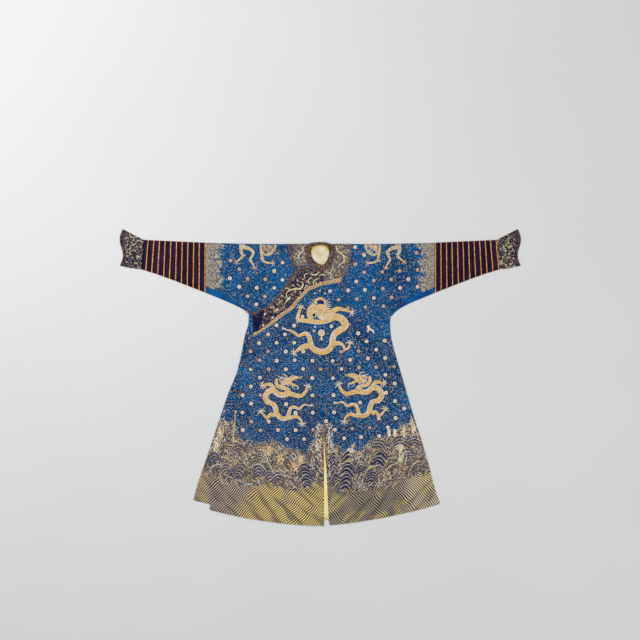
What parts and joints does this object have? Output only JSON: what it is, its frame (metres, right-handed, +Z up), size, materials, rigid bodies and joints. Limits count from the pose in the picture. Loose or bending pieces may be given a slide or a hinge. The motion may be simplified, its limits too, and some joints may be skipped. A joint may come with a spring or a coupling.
{
  "type": "chinese dragon robe",
  "caption": "Chinese dragon robe laid flat, front up, with overlapping front, centre slit, striped sleeve extensions and hoof-shaped cuffs.",
  "frame": {"origin": "centre of the bounding box, on the surface that the robe lies on", "axes": "+X towards the wearer's left sleeve, +Y towards the shoulders, +Z up out of the front"},
  "size_m": [1.9452, 1.439, 0.0172],
  "materials": {
    "embroidered_blue": "matte silk with woven and couched pattern",
    "plain_blue": "plain silk, soft sheen",
    "ribbed_silk": "ribbed silk with orange raised stripes",
    "cuff_brocade": "patterned silk with a little metal thread",
    "collar_brocade": "patterned silk with a little metal thread",
    "navy_silk": "plain silk, soft sheen",
    "rust_binding": "woven binding",
    "gold_brocade": "gold brocade ribbon",
    "neck_binding": "woven binding",
    "cream_lining": "plain silk lining",
    "yellow_lining": "plain silk lining",
    "gilt_brass": "polished gilt brass",
    "loop_cord": "rolled silk cord"
  },
  "bodies": {
    "root": {"left_body": "embroidered_blue", "right_body": "embroidered_blue", "overlap_front": "embroidered_blue", "gusset_left": "plain_blue", "gusset_right": "plain_blue", "sleeve_extension_left": "ribbed_silk", "sleeve_extension_right": "ribbed_silk", "cuff_left": "cuff_brocade", "cuff_right": "cuff_brocade", "neck_binding": "neck_binding", "yoke_left": "collar_brocade", "yoke_right": "collar_brocade", "shoulder_binding": "rust_binding", "yoke_edging": "gold_brocade", "edge_binding": "rust_binding", "band_edging": "gold_brocade", "diagonal_band": "collar_brocade", "band_end": "navy_silk", "neck_lining": "cream_lining", "slit_lining": "yellow_lining", "button_neck": "gilt_brass", "button_collarbone": "gilt_brass", "button_underarm": "gilt_brass", "button_side_upper": "gilt_brass", "button_side_middle": "gilt_brass", "button_side_lower": "gilt_brass", "loop_underarm": "loop_cord", "loop_side_upper": "loop_cord", "loop_side_lower": "loop_cord"}
  },
  "joints": []
}
